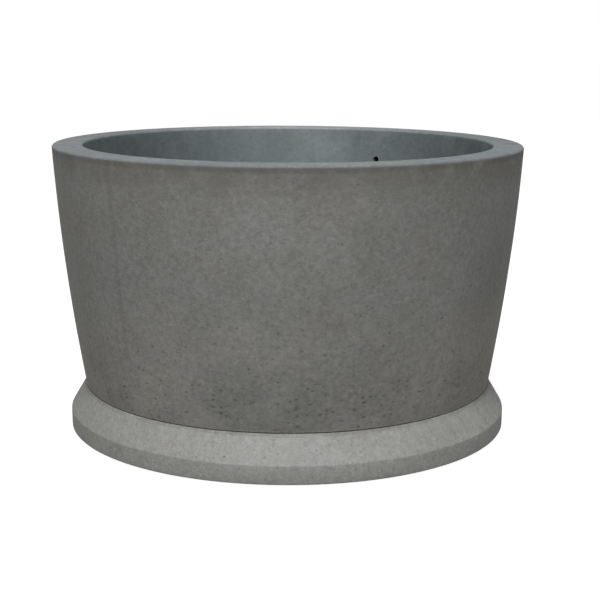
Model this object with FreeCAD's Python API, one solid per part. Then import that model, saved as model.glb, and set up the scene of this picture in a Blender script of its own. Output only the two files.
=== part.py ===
import FreeCAD, Part
import math
import os

# Round precast concrete planter: a tapered bowl that stands on a separate base ring.
# The origin is on the ground, on the planter's axis, with +Z up. All sizes are in millimetres
# and all angles in degrees. Angles round the axis are counted from +X towards +Y.

# Bowl, one casting
RIM_OUTER_RADIUS = 610.0
RIM_WALL = 78.0  # width of the flat rim
BOWL_HEIGHT = 626.0  # from the foot of the wall to the rim
FOOT_RADIUS = 538.0  # outside of the wall where it meets the base ring
WALL_BULGE = 9.0  # how far the outside swells beyond a straight taper, at mid height
FLOOR_THICKNESS = 80.0  # where the floor meets the wall
FLOOR_FALL = 8.0  # drop of the floor from the wall to the drain
WALL_AT_FLOOR = 88.0  # wall thickness level with the floor
COVE_RADIUS = 40.0  # round between the floor and the wall
RIM_ROUND = 6.0
FOOT_ROUND = 3.0
SPIGOT_RADIUS = 270.0  # boss under the floor that centres the bowl in the base ring
SPIGOT_DEPTH = 20.0
SPIGOT_CHAMFER = 6.0

# Base ring, one casting
BASE_EDGE_HEIGHT = 46.0  # upright outer edge
BASE_SLOPE_RISE = 65.0  # sloping shoulder above the edge
BASE_FLARE = 39.0  # how far the shoulder spreads outwards on the way down
BASE_LEDGE = 2.0  # flat that shows outside the foot of the bowl
BASE_EDGE_ROUND = 8.0
BASE_ARRIS_ROUND = 4.0
SPIGOT_CLEARANCE = 5.0  # between the spigot and the opening of the ring
OPENING_CHAMFER = 8.0

# Rubber pads: bearing pads carry the bowl, foot pads carry the base ring
PAD_COUNT = 4
FIRST_PAD_ANGLE = 45.0
PAD_CLEARANCE = 1.0  # between a pad's side and its pocket
BEARING_PAD_RADIUS = 40.0
BEARING_PAD_THICKNESS = 8.0
BEARING_POCKET_DEPTH = 6.5
FOOT_PAD_RADIUS = 50.0
FOOT_PAD_THICKNESS = 10.0
FOOT_POCKET_DEPTH = 7.0
FOOT_PAD_INSET = 90.0  # from the outer edge of the base ring to the middle of a pad

# Drain, in the middle of the floor
DRAIN_BORE_RADIUS = 26.0
SLEEVE_WALL = 4.0
SLEEVE_STUB = 20.0  # length that shows below the spigot
FLANGE_THICKNESS = 10.0
FLANGE_LAND = 10.0  # flat of the flange that shows outside the strainer
STRAINER_LEDGE = 16.0  # step round the bore that the strainer sits on
STRAINER_SEAT_DEPTH = 4.0
STRAINER_CLEARANCE = 0.5
STRAINER_LIP = 9.5  # flat edge of the strainer outside its dome
STRAINER_DOME_HEIGHT = 20.0
STRAINER_SHELL = 3.5
STRAINER_CROWN_RADIUS = 10.0  # flat top of the dome
STRAINER_SLOT_COUNT = 12
STRAINER_SLOT_WIDTH = 5.0
STRAINER_SLOT_MARGIN = 2.0  # dome left whole above the flange and round the crown

# Lifting inserts: threaded ferrules, three in the inner wall of the bowl and three in the base ring
INSERT_COUNT = 3
FIRST_INSERT_ANGLE = 60.0
INSERT_DROP = 88.0  # below the rim
THREAD_RADIUS = 7.0  # tapping radius of an M16 thread
THREAD_DEPTH = 30.0
FERRULE_WALL = 5.0  # round the thread, at the middle of a flat
FERRULE_TAIL = 16.0  # solid end behind the thread
INSERT_RECESS_DEPTH = 5.0
INSERT_RECESS_MARGIN = 2.0  # how much wider than the thread the hole in the concrete is, each side
ANCHOR_SETBACK = 8.0  # from the closed end of the ferrule to the middle of its anchor bar
ANCHOR_HALF_ANGLE = 9.0
ANCHOR_CLEARANCE = 0.4
FERRULE_FOOT_RADIUS = 22.0
FERRULE_FOOT_THICKNESS = 6.0

# Reinforcement
BAR_DIAMETER = 10.0
TIE_GAP = 1.5  # cement between two bars that cross
BAR_OVERRUN = 10.0  # length of a bar past the middle of the last hoop that it is tied to
WALL_BAR_COUNT = 12
WALL_BAR_COVER = 34.0  # concrete outside the upright bars
WALL_BAR_BEND = 40.0  # bend radius of the bar's middle line
FLOOR_BAR_RISE = 40.0  # middle of the bars in the floor, above the foot
FLOOR_BAR_END_RADIUS = 120.0
WALL_HOOP_COUNT = 5
TOP_HOOP_DROP = 45.0  # below the rim
LOW_HOOP_RISE = 110.0  # above the foot
FLOOR_HOOP_RADII = (200.0, 350.0)
BASE_BAR_COVER = 35.0
BASE_TIE_COUNT = 8
TOP_BASE_HOOP_INSET = 60.0  # inside the foot of the bowl
CAST_GAP = 0.05  # shrinkage gap round everything that is cast in

# Heights that follow from the sizes above
BASE_BOTTOM = FOOT_PAD_THICKNESS - FOOT_POCKET_DEPTH
BASE_EDGE_TOP = BASE_BOTTOM + BASE_EDGE_HEIGHT
BASE_TOP = BASE_EDGE_TOP + BASE_SLOPE_RISE
FOOT_LEVEL = BASE_TOP + BEARING_PAD_THICKNESS - BEARING_POCKET_DEPTH
RIM_LEVEL = FOOT_LEVEL + BOWL_HEIGHT
FLOOR_LEVEL = FOOT_LEVEL + FLOOR_THICKNESS
DRAIN_LEVEL = FLOOR_LEVEL - FLOOR_FALL
SPIGOT_LEVEL = FOOT_LEVEL - SPIGOT_DEPTH

# Radii that follow from the sizes above
RIM_INNER_RADIUS = RIM_OUTER_RADIUS - RIM_WALL
BASE_OPENING_RADIUS = SPIGOT_RADIUS + SPIGOT_CLEARANCE
BASE_SHOULDER_RADIUS = FOOT_RADIUS + BASE_LEDGE
BASE_EDGE_RADIUS = BASE_SHOULDER_RADIUS + BASE_FLARE
BEARING_CIRCLE = (BASE_OPENING_RADIUS + FOOT_RADIUS) / 2
FOOT_PAD_CIRCLE = BASE_EDGE_RADIUS - FOOT_PAD_INSET
SLEEVE_RADIUS = DRAIN_BORE_RADIUS + SLEEVE_WALL
STRAINER_SEAT_RADIUS = DRAIN_BORE_RADIUS + STRAINER_LEDGE
STRAINER_RADIUS = STRAINER_SEAT_RADIUS - STRAINER_CLEARANCE
STRAINER_DOME_RADIUS = STRAINER_RADIUS - STRAINER_LIP
FLANGE_RADIUS = STRAINER_SEAT_RADIUS + FLANGE_LAND
INSERT_RECESS_RADIUS = THREAD_RADIUS + INSERT_RECESS_MARGIN
FERRULE_ACROSS_FLATS = 2 * (THREAD_RADIUS + FERRULE_WALL)
FERRULE_LENGTH = THREAD_DEPTH + FERRULE_TAIL
BAR_RADIUS = BAR_DIAMETER / 2
CROSSING = BAR_DIAMETER + TIE_GAP  # between the middles of two bars that cross

OUTWARDS = FreeCAD.Vector(1, 0, 0)
ACROSS = FreeCAD.Vector(0, 1, 0)
AXIS = FreeCAD.Vector(0, 0, 1)
CENTRE = FreeCAD.Vector(0, 0, 0)


def point(radius, height):
    """A point of a profile, in the half plane of the axis that holds +X."""
    return FreeCAD.Vector(radius, 0, height)


def line(start, end):
    return Part.LineSegment(start, end).toShape()


def turned(edges):
    """The solid that a closed profile sweeps round the axis."""
    return Part.Face(Part.Wire(edges)).revolve(CENTRE, AXIS, 360)


def turned_polygon(corners):
    """The solid that a straight-sided profile sweeps round the axis."""
    points = [point(*corner) for corner in corners]
    return turned([line(a, b) for a, b in zip(points, points[1:] + points[:1])])


def spun(shape, angle):
    """A copy of a shape, turned about the axis."""
    copy = shape.copy()
    copy.rotate(CENTRE, AXIS, angle)
    return copy


def angles(count, first):
    return [first + index * 360.0 / count for index in range(count)]


def circle_edges(shape, radius, height):
    """The edges of a turned solid that are circles of that radius at that height."""
    found = []
    for edge in shape.Edges:
        curve = edge.Curve
        if isinstance(curve, Part.Circle):
            if abs(curve.Radius - radius) < 1e-4 and abs(curve.Center.z - height) < 1e-4:
                found.append(edge)
    return found


def rounded(shape, rounds):
    """The shape with its circular edges rounded: rounds holds (edge radius, height, round)."""
    for radius, height, size in rounds:
        shape = shape.makeFillet(size, circle_edges(shape, radius, height))
    return shape


def outer_wall_arc():
    """The outside of the bowl's wall, from its foot to its rim."""
    middle = point((FOOT_RADIUS + RIM_OUTER_RADIUS) / 2 + WALL_BULGE, (FOOT_LEVEL + RIM_LEVEL) / 2)
    return Part.Arc(point(FOOT_RADIUS, FOOT_LEVEL), middle, point(RIM_OUTER_RADIUS, RIM_LEVEL))


def outer_wall_radius(height):
    """Radius of the outside of the bowl's wall at a height."""
    level = Part.Line(point(0, height), point(1, height))
    crossings = outer_wall_arc().intersect(level)
    return max(crossing.X for crossing in crossings)


FLOOR_EDGE_RADIUS = outer_wall_radius(FLOOR_LEVEL) - WALL_AT_FLOOR
INNER_WALL_SLOPE = (RIM_INNER_RADIUS - FLOOR_EDGE_RADIUS) / (RIM_LEVEL - FLOOR_LEVEL)
INSERT_LEVEL = RIM_LEVEL - INSERT_DROP
INSERT_MOUTH_RADIUS = RIM_INNER_RADIUS - INSERT_DROP * INNER_WALL_SLOPE


def bowl_blank():
    """The bowl's concrete before anything is cast into it."""
    recess_radius = FLANGE_RADIUS + CAST_GAP
    recess_level = DRAIN_LEVEL - FLANGE_THICKNESS
    hole_radius = SLEEVE_RADIUS + CAST_GAP
    corners = [
        (RIM_OUTER_RADIUS, RIM_LEVEL),
        (RIM_INNER_RADIUS, RIM_LEVEL),
        (FLOOR_EDGE_RADIUS, FLOOR_LEVEL),
        (recess_radius, DRAIN_LEVEL),
        (recess_radius, recess_level),
        (hole_radius, recess_level),
        (hole_radius, SPIGOT_LEVEL),
        (SPIGOT_RADIUS - SPIGOT_CHAMFER, SPIGOT_LEVEL),
        (SPIGOT_RADIUS, SPIGOT_LEVEL + SPIGOT_CHAMFER),
        (SPIGOT_RADIUS, FOOT_LEVEL),
        (FOOT_RADIUS, FOOT_LEVEL),
    ]
    points = [point(*corner) for corner in corners]
    edges = [line(a, b) for a, b in zip(points, points[1:])]
    return rounded(
        turned(edges + [outer_wall_arc().toShape()]),
        [
            (RIM_OUTER_RADIUS, RIM_LEVEL, RIM_ROUND),
            (RIM_INNER_RADIUS, RIM_LEVEL, RIM_ROUND),
            (FLOOR_EDGE_RADIUS, FLOOR_LEVEL, COVE_RADIUS),
            (FOOT_RADIUS, FOOT_LEVEL, FOOT_ROUND),
        ],
    )


def base_blank():
    """The base ring's concrete before anything is cast into it, with the pockets for its pads."""
    corners = [
        (BASE_OPENING_RADIUS, BASE_BOTTOM),
        (BASE_EDGE_RADIUS, BASE_BOTTOM),
        (BASE_EDGE_RADIUS, BASE_EDGE_TOP),
        (BASE_SHOULDER_RADIUS, BASE_TOP),
        (BASE_OPENING_RADIUS + OPENING_CHAMFER, BASE_TOP),
        (BASE_OPENING_RADIUS, BASE_TOP - OPENING_CHAMFER),
    ]
    ring = rounded(
        turned_polygon(corners),
        [
            (BASE_EDGE_RADIUS, BASE_EDGE_TOP, BASE_EDGE_ROUND),
            (BASE_EDGE_RADIUS, BASE_BOTTOM, BASE_ARRIS_ROUND),
        ],
    )
    pockets = bearing_pads(PAD_CLEARANCE) + foot_pads(PAD_CLEARANCE)
    return ring.cut(pockets)


def pads(radius, thickness, bottom, circle):
    """Round pads with their lower face at the given level, spaced on a circle about the axis."""
    pad = Part.makeCylinder(radius, thickness, FreeCAD.Vector(circle, 0, bottom))
    return [spun(pad, angle) for angle in angles(PAD_COUNT, FIRST_PAD_ANGLE)]


def bearing_pads(grow=0.0):
    """Rubber pads let into the top of the base ring, standing a little proud of it."""
    bottom = BASE_TOP - BEARING_POCKET_DEPTH
    return pads(BEARING_PAD_RADIUS + grow, BEARING_PAD_THICKNESS, bottom, BEARING_CIRCLE)


def foot_pads(grow=0.0):
    """Rubber pads let into the underside of the base ring, which stands on them."""
    return pads(FOOT_PAD_RADIUS + grow, FOOT_PAD_THICKNESS, 0.0, FOOT_PAD_CIRCLE)


def drain_sleeve():
    """Plastic pipe through the floor, with a flange that lies flush in the floor."""
    seat_level = DRAIN_LEVEL - STRAINER_SEAT_DEPTH
    return turned_polygon(
        [
            (DRAIN_BORE_RADIUS, SPIGOT_LEVEL - SLEEVE_STUB),
            (SLEEVE_RADIUS, SPIGOT_LEVEL - SLEEVE_STUB),
            (SLEEVE_RADIUS, DRAIN_LEVEL - FLANGE_THICKNESS),
            (FLANGE_RADIUS, DRAIN_LEVEL - FLANGE_THICKNESS),
            (FLANGE_RADIUS, DRAIN_LEVEL),
            (STRAINER_SEAT_RADIUS, DRAIN_LEVEL),
            (STRAINER_SEAT_RADIUS, seat_level),
            (DRAIN_BORE_RADIUS, seat_level),
        ]
    )


def drain_strainer():
    """Domed grating that drops into the flange of the drain and lifts out."""
    seat_level = DRAIN_LEVEL - STRAINER_SEAT_DEPTH
    crown_level = DRAIN_LEVEL + STRAINER_DOME_HEIGHT
    # The dome is part of a ball whose centre lies on the axis, under the flange.
    rise = STRAINER_DOME_HEIGHT
    spread = STRAINER_DOME_RADIUS**2 - STRAINER_CROWN_RADIUS**2
    ball_level = DRAIN_LEVEL + (rise**2 - spread) / (2 * rise)
    ball_radius = math.hypot(STRAINER_DOME_RADIUS, DRAIN_LEVEL - ball_level)

    def ball_point(radius, level):
        """The point of a ball of that radius at a level."""
        return point(math.sqrt(radius**2 - (level - ball_level) ** 2), level)

    inner_ball = ball_radius - STRAINER_SHELL
    ceiling = crown_level - STRAINER_SHELL
    half_way = DRAIN_LEVEL + rise / 2
    outside = Part.Arc(
        ball_point(ball_radius, DRAIN_LEVEL),
        ball_point(ball_radius, half_way),
        ball_point(ball_radius, crown_level),
    )
    inside = Part.Arc(
        ball_point(inner_ball, ceiling),
        ball_point(inner_ball, half_way),
        ball_point(inner_ball, seat_level),
    )
    outline = [
        outside.EndPoint,
        point(0, crown_level),
        point(0, ceiling),
        inside.StartPoint,
    ]
    flange = [
        inside.EndPoint,
        point(STRAINER_RADIUS, seat_level),
        point(STRAINER_RADIUS, DRAIN_LEVEL),
        outside.StartPoint,
    ]
    edges = [outside.toShape()]
    edges += [line(a, b) for a, b in zip(outline, outline[1:])]
    edges += [inside.toShape()]
    edges += [line(a, b) for a, b in zip(flange, flange[1:])]
    slot_start = STRAINER_CROWN_RADIUS + STRAINER_SLOT_MARGIN
    slot = Part.makeBox(
        STRAINER_DOME_RADIUS,
        STRAINER_SLOT_WIDTH,
        STRAINER_DOME_HEIGHT,
        FreeCAD.Vector(slot_start, -STRAINER_SLOT_WIDTH / 2, DRAIN_LEVEL + STRAINER_SLOT_MARGIN),
    )
    return turned(edges).cut([spun(slot, angle) for angle in angles(STRAINER_SLOT_COUNT, 0.0)])


def hexagon_prism(across_flats, length):
    """A hexagonal bar along +X from the origin."""
    corner = across_flats / math.sqrt(3)
    turns = [math.radians(60 * index) for index in range(7)]
    points = [FreeCAD.Vector(0, corner * math.cos(a), corner * math.sin(a)) for a in turns]
    return Part.Face(Part.makePolygon(points)).extrude(OUTWARDS * length)


def ferrule(grow=0.0):
    """Hexagonal ferrule along +X, with its mouth at the origin."""
    body = hexagon_prism(FERRULE_ACROSS_FLATS + 2 * grow, FERRULE_LENGTH + 2 * grow)
    body.translate(OUTWARDS * -grow)
    return body


def threaded(body):
    """A ferrule with its threaded hole, which is blind."""
    return body.cut(Part.makeCylinder(THREAD_RADIUS, THREAD_DEPTH, CENTRE, OUTWARDS))


def recess():
    """Hole in the concrete that leads to the mouth of a ferrule along +X."""
    reach = 2 * INSERT_RECESS_DEPTH
    return Part.makeCylinder(INSERT_RECESS_RADIUS, reach, OUTWARDS * -reach, OUTWARDS)


def in_wall(shape):
    """Sets a shape that points along +X square into the inner wall, behind its recess."""
    lean = math.degrees(math.atan(INNER_WALL_SLOPE))
    placed = shape.copy()
    placed.translate(OUTWARDS * INSERT_RECESS_DEPTH)
    placed.rotate(CENTRE, ACROSS, lean)
    placed.translate(point(INSERT_MOUTH_RADIUS, INSERT_LEVEL))
    return placed


def anchor_bar(grow=0.0):
    """Bar bent to the wall's curve, which passes through the tail of a lifting insert."""
    depth = INSERT_RECESS_DEPTH + FERRULE_LENGTH - ANCHOR_SETBACK
    lean = math.atan(INNER_WALL_SLOPE)
    radius = INSERT_MOUTH_RADIUS + depth * math.cos(lean)
    level = INSERT_LEVEL - depth * math.sin(lean)
    grow_angle = math.degrees(grow / radius)
    half = ANCHOR_HALF_ANGLE + grow_angle
    section = Part.makeCircle(BAR_RADIUS + grow, point(radius, level), ACROSS)
    bar = Part.Face(Part.Wire(section)).revolve(CENTRE, AXIS, 2 * half)
    return spun(bar, -half)


def wall_insert(grow=0.0):
    """Lifting insert of the bowl: a ferrule whose tail is drilled for its anchor bar."""
    if grow:
        return in_wall(ferrule(grow))
    return in_wall(threaded(ferrule())).cut(anchor_bar(ANCHOR_CLEARANCE))


def downwards(shape):
    """Sets a shape that points along +X upright in the top of the base ring, below its recess."""
    placed = shape.copy()
    placed.rotate(CENTRE, ACROSS, 90)
    placed.translate(point(BEARING_CIRCLE, BASE_TOP - INSERT_RECESS_DEPTH))
    return placed


def base_insert(grow=0.0):
    """Lifting insert of the base ring: a ferrule with a foot."""
    foot = Part.makeCylinder(
        FERRULE_FOOT_RADIUS + grow,
        FERRULE_FOOT_THICKNESS + 2 * grow,
        OUTWARDS * (FERRULE_LENGTH - FERRULE_FOOT_THICKNESS - grow),
        OUTWARDS,
    )
    body = ferrule(grow).fuse(foot)
    return downwards(body if grow else threaded(body))


def hoop(radius, height, grow=0.0):
    """Ring of reinforcing bar about the axis."""
    return Part.makeTorus(radius, BAR_RADIUS + grow, point(0, height))


def wall_bar_ends():
    """Foot and head of the middle line of an upright bar, as profile points."""
    inset = WALL_BAR_COVER + BAR_RADIUS
    foot = FOOT_LEVEL + FLOOR_BAR_RISE
    head = RIM_LEVEL - TOP_HOOP_DROP + BAR_OVERRUN
    return (outer_wall_radius(foot) - inset, foot), (outer_wall_radius(head) - inset, head)


def wall_bar_radius(height):
    """Radius of the middle line of an upright bar at a height."""
    (foot_radius, foot), (head_radius, head) = wall_bar_ends()
    return foot_radius + (head_radius - foot_radius) * (height - foot) / (head - foot)


def wall_bar(grow=0.0):
    """Bar that runs out along the floor, bends and runs up the wall."""
    (foot_radius, foot), (head_radius, head) = wall_bar_ends()
    corner = point(foot_radius, foot)
    up = (point(head_radius, head) - corner).normalize()
    inwards = OUTWARDS * -1
    turn = math.pi - up.getAngle(inwards)
    reach = WALL_BAR_BEND * math.tan(turn / 2)
    bisector = (up + inwards).normalize()
    middle = corner + bisector * (WALL_BAR_BEND / math.cos(turn / 2) - WALL_BAR_BEND)
    inner_end = point(FLOOR_BAR_END_RADIUS - grow, foot)
    bend_start = corner + inwards * reach
    bend_end = corner + up * reach
    outer_end = point(head_radius, head) + up * grow
    path = Part.Wire(
        [
            line(inner_end, bend_start),
            Part.Arc(bend_start, middle, bend_end).toShape(),
            line(bend_end, outer_end),
        ]
    )
    section = Part.Wire(Part.makeCircle(BAR_RADIUS + grow, inner_end, OUTWARDS))
    return path.makePipeShell([section], True, False)


def wall_hoops(grow=0.0):
    """Hoops tied round the outside of the upright bars, from the rim down."""
    lean = wall_bar_radius(1) - wall_bar_radius(0)
    offset = CROSSING * math.hypot(1, lean)
    top = RIM_LEVEL - TOP_HOOP_DROP
    step = (top - FOOT_LEVEL - LOW_HOOP_RISE) / (WALL_HOOP_COUNT - 1)
    levels = [top - index * step for index in range(WALL_HOOP_COUNT)]
    return [hoop(wall_bar_radius(level) + offset, level, grow) for level in levels]


def floor_hoops(grow=0.0):
    """Hoops tied under the bars of the floor."""
    level = FOOT_LEVEL + FLOOR_BAR_RISE - CROSSING
    return [hoop(radius, level, grow) for radius in FLOOR_HOOP_RADII]


BASE_HOOP_LEVEL = BASE_BOTTOM + BASE_BAR_COVER + BAR_RADIUS
BASE_OUTER_HOOP_RADIUS = BASE_EDGE_RADIUS - BASE_BAR_COVER - BAR_RADIUS
BASE_INNER_HOOP_RADIUS = BASE_OPENING_RADIUS + BASE_BAR_COVER + BAR_RADIUS


def base_hoops(grow=0.0):
    """Two hoops under the tie bars of the base ring, and one above them."""
    upper = BASE_HOOP_LEVEL + 2 * CROSSING
    return [
        hoop(BASE_OUTER_HOOP_RADIUS, BASE_HOOP_LEVEL, grow),
        hoop(BASE_INNER_HOOP_RADIUS, BASE_HOOP_LEVEL, grow),
        hoop(FOOT_RADIUS - TOP_BASE_HOOP_INSET, upper, grow),
    ]


def base_tie_bars(grow=0.0):
    """Straight bars across the base ring, which tie its hoops together."""
    start = BASE_INNER_HOOP_RADIUS - BAR_OVERRUN - grow
    end = BASE_OUTER_HOOP_RADIUS + BAR_OVERRUN + grow
    level = BASE_HOOP_LEVEL + CROSSING
    bar = Part.makeCylinder(BAR_RADIUS + grow, end - start, point(start, level), OUTWARDS)
    first = 180.0 / BASE_TIE_COUNT
    return [spun(bar, angle) for angle in angles(BASE_TIE_COUNT, first)]


INSERT_ANGLES = angles(INSERT_COUNT, FIRST_INSERT_ANGLE)
WALL_BAR_ANGLES = angles(WALL_BAR_COUNT, FIRST_INSERT_ANGLE + 180.0 / WALL_BAR_COUNT)


def round_axis(shape, turns):
    return [spun(shape, angle) for angle in turns]


def bowl():
    """The bowl's concrete, with room for what is cast into it."""
    cast_in = round_axis(wall_bar(CAST_GAP), WALL_BAR_ANGLES)
    cast_in += wall_hoops(CAST_GAP) + floor_hoops(CAST_GAP)
    cast_in += round_axis(wall_insert(CAST_GAP), INSERT_ANGLES)
    cast_in += round_axis(in_wall(recess()), INSERT_ANGLES)
    cast_in += round_axis(anchor_bar(CAST_GAP), INSERT_ANGLES)
    return bowl_blank().cut(cast_in)


def base_ring():
    """The base ring's concrete, with room for what is cast into it."""
    cast_in = base_hoops(CAST_GAP) + base_tie_bars(CAST_GAP)
    cast_in += round_axis(base_insert(CAST_GAP), INSERT_ANGLES)
    cast_in += round_axis(downwards(recess()), INSERT_ANGLES)
    return base_blank().cut(cast_in)


def numbered(name, shapes):
    return {f"{name}_{index + 1}": shape for index, shape in enumerate(shapes)}


def all_parts():
    """Every piece of the planter under its own name."""
    return {
        "bowl": bowl(),
        **numbered("wall_bar", round_axis(wall_bar(), WALL_BAR_ANGLES)),
        **numbered("wall_hoop", wall_hoops()),
        **numbered("floor_hoop", floor_hoops()),
        **numbered("lifting_insert", round_axis(wall_insert(), INSERT_ANGLES)),
        **numbered("insert_anchor_bar", round_axis(anchor_bar(), INSERT_ANGLES)),
        "drain_sleeve": drain_sleeve(),
        "drain_strainer": drain_strainer(),
        "base_ring": base_ring(),
        **numbered("base_hoop", base_hoops()),
        **numbered("base_tie_bar", base_tie_bars()),
        **numbered("base_lifting_insert", round_axis(base_insert(), INSERT_ANGLES)),
        **numbered("bearing_pad", bearing_pads()),
        **numbered("foot_pad", foot_pads()),
    }


os.makedirs("parts", exist_ok=True)
for node, shape in all_parts().items():
    shape.exportStep(f"parts/{node}.step")
    print(node, len(shape.Solids), shape.isValid(), round(shape.Volume / 1000.0, 2), "cm3")
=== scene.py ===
import math

import bpy
from mathutils import Matrix, Vector


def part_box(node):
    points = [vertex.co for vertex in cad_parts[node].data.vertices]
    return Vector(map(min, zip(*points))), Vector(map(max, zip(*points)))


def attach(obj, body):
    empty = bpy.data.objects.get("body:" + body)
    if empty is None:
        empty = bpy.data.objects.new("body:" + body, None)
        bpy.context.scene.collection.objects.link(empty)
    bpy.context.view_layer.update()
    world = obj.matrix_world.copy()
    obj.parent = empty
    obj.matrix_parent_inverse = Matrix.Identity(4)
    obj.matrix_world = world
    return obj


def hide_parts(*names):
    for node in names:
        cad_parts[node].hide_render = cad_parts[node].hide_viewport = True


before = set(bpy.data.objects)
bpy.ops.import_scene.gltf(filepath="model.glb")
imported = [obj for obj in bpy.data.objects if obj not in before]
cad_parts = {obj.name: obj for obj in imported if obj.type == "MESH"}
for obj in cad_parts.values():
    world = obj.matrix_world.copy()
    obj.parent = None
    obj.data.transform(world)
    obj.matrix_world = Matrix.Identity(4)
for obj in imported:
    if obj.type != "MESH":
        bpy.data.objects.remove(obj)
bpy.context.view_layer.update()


# Base ring: the lower of two precast concrete castings, a ring with a sloping shoulder above an upright
# edge. It is cast in a steel mould from a paler mix than the bowl and stays as it was struck, with small
# blowholes. Round pockets in both faces hold rubber pads, and three holes in its top lead to lifting sockets.
TURN = 2 * math.pi
base_low, base_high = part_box("base_ring")
bearing_low, bearing_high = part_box("bearing_pad_1")
foot_low, foot_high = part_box("foot_pad_1")
BASE_EDGE_RADIUS = 0.579
BASE_BOTTOM = base_low.z
BASE_TOP = base_high.z
BASE_EDGE_TOP = BASE_BOTTOM + 0.046
BASE_SHOULDER_RADIUS = 0.540
BASE_OPENING_RADIUS = 0.275
BASE_OPENING_CHAMFER = 0.008
BASE_SHOULDER_ROUND = 0.002
BASE_EDGE_ROUND = 0.008
BASE_ARRIS_ROUND = 0.004
BEARING_CIRCLE = 0.4065
BEARING_PAD_RADIUS = 0.040
FOOT_PAD_CIRCLE = 0.489
FOOT_PAD_RADIUS = 0.050
PAD_ANGLES = [TURN * (0.125 + index / 4) for index in range(4)]
PAD_CLEARANCE = 0.001
INSERT_ANGLES = [TURN * (1 / 6 + index / 3) for index in range(3)]
INSERT_RECESS_DEPTH = 0.005
THREAD_DEPTH = 0.030
INSERT_HOLE_RADIUS = 0.009
HOLE_PAST_THREAD = 0.001
INSERT_HOLE_DEPTH = INSERT_RECESS_DEPTH + THREAD_DEPTH + HOLE_PAST_THREAD
CUT_MARGIN = 0.01


def rounded_outline(corners, run_length):
    """A closed outline of (radius, height, round) corners, with arcs at its rounds and long runs divided."""
    arc_steps = 5
    points = []
    for index, (radius, height, size) in enumerate(corners):
        corner = Vector((radius, height))
        if size == 0:
            points.append(corner)
            continue
        back = (Vector(corners[index - 1][:2]) - corner).normalized()
        ahead = (Vector(corners[(index + 1) % len(corners)][:2]) - corner).normalized()
        half = back.angle(ahead) / 2
        centre = corner + (back + ahead).normalized() * (size / math.sin(half))
        start = corner + back * (size / math.tan(half)) - centre
        end = corner + ahead * (size / math.tan(half)) - centre
        swing = math.atan2(start.x * end.y - start.y * end.x, start.dot(end))
        for step in range(arc_steps + 1):
            points.append(centre + Matrix.Rotation(swing * step / arc_steps, 2) @ start)
    divided = []
    for here, there in zip(points, points[1:] + points[:1]):
        runs = max(1, math.ceil((there - here).length / run_length))
        divided += [here.lerp(there, run / runs) for run in range(runs)]
    return divided


def add_node(tree, kind, inputs=None, **settings):
    """A new node, with settings made and inputs linked or set by name or number."""
    made = tree.nodes.new(kind)
    for name, value in settings.items():
        setattr(made, name, value)
    for name, value in (inputs or {}).items():
        if isinstance(value, bpy.types.NodeSocket):
            tree.links.new(value, made.inputs[name])
        else:
            made.inputs[name].default_value = value
    return made


def calculate(tree, operation, first, second=0.0):
    """The result of a Math node."""
    return add_node(tree, "ShaderNodeMath", {0: first, 1: second}, operation=operation).outputs[0]


def count(tree, operation, first, second):
    """The result of an Integer Math node."""
    return add_node(tree, "FunctionNodeIntegerMath", {0: first, 1: second}, operation=operation).outputs[0]


def remap(tree, value, low, high, new_low, new_high, smooth=True):
    """A value moved from one range to another, and kept inside it."""
    inputs = {"Value": value, "From Min": low, "From Max": high, "To Min": new_low, "To Max": new_high}
    kind = "SMOOTHSTEP" if smooth else "LINEAR"
    return add_node(tree, "ShaderNodeMapRange", inputs, interpolation_type=kind).outputs[0]


def on_circle(tree, radius, angle, height=0.0):
    """The point at an angle round the axis."""
    inputs = {
        "X": calculate(tree, "MULTIPLY", radius, calculate(tree, "COSINE", angle)),
        "Y": calculate(tree, "MULTIPLY", radius, calculate(tree, "SINE", angle)),
        "Z": height,
    }
    return add_node(tree, "ShaderNodeCombineXYZ", inputs).outputs[0]


def new_tree(name, inputs):
    """An empty Geometry Nodes tree, with its input sockets and output node. inputs holds (name, kind)."""
    tree = bpy.data.node_groups.new(name, "GeometryNodeTree")
    tree.interface.new_socket("Geometry", in_out="INPUT", socket_type="NodeSocketGeometry")
    for input_name, kind in inputs:
        tree.interface.new_socket(input_name, in_out="INPUT", socket_type="NodeSocket" + kind)
    tree.interface.new_socket("Geometry", in_out="OUTPUT", socket_type="NodeSocketGeometry")
    return tree, add_node(tree, "NodeGroupInput").outputs, add_node(tree, "NodeGroupOutput")


def turning_tree():
    """Turns an outline about the axis into a closed shell."""
    tree, given, result = new_tree("turned piece", [("Columns", "Int")])
    outline = given["Geometry"]
    rows = add_node(tree, "GeometryNodeAttributeDomainSize", {"Geometry": outline}).outputs["Point Count"]
    row_points = count(tree, "ADD", rows, 1)
    column_points = count(tree, "ADD", given["Columns"], 1)
    grid = add_node(tree, "GeometryNodeMeshGrid", {"Vertices X": column_points, "Vertices Y": row_points})
    index = add_node(tree, "GeometryNodeInputIndex").outputs[0]
    row = count(tree, "MODULO", count(tree, "MODULO", index, row_points), rows)
    column = count(tree, "DIVIDE_FLOOR", index, row_points)
    angle = calculate(tree, "MULTIPLY", calculate(tree, "DIVIDE", column, given["Columns"]), TURN)
    place = add_node(tree, "GeometryNodeInputPosition").outputs[0]
    corner = {"Geometry": outline, "Value": place, "Index": row}
    sample = add_node(tree, "GeometryNodeSampleIndex", corner, data_type="FLOAT_VECTOR", domain="POINT")
    spot = add_node(tree, "ShaderNodeSeparateXYZ", {0: sample.outputs["Value"]}).outputs
    turned = on_circle(tree, spot["X"], angle, spot["Z"])
    shell = add_node(tree, "GeometryNodeSetPosition", {"Geometry": grid.outputs["Mesh"], "Position": turned})
    closed = add_node(tree, "GeometryNodeMergeByDistance", {"Geometry": shell.outputs[0], "Distance": 1e-5})
    tree.links.new(closed.outputs[0], result.inputs[0])
    return tree


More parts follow.
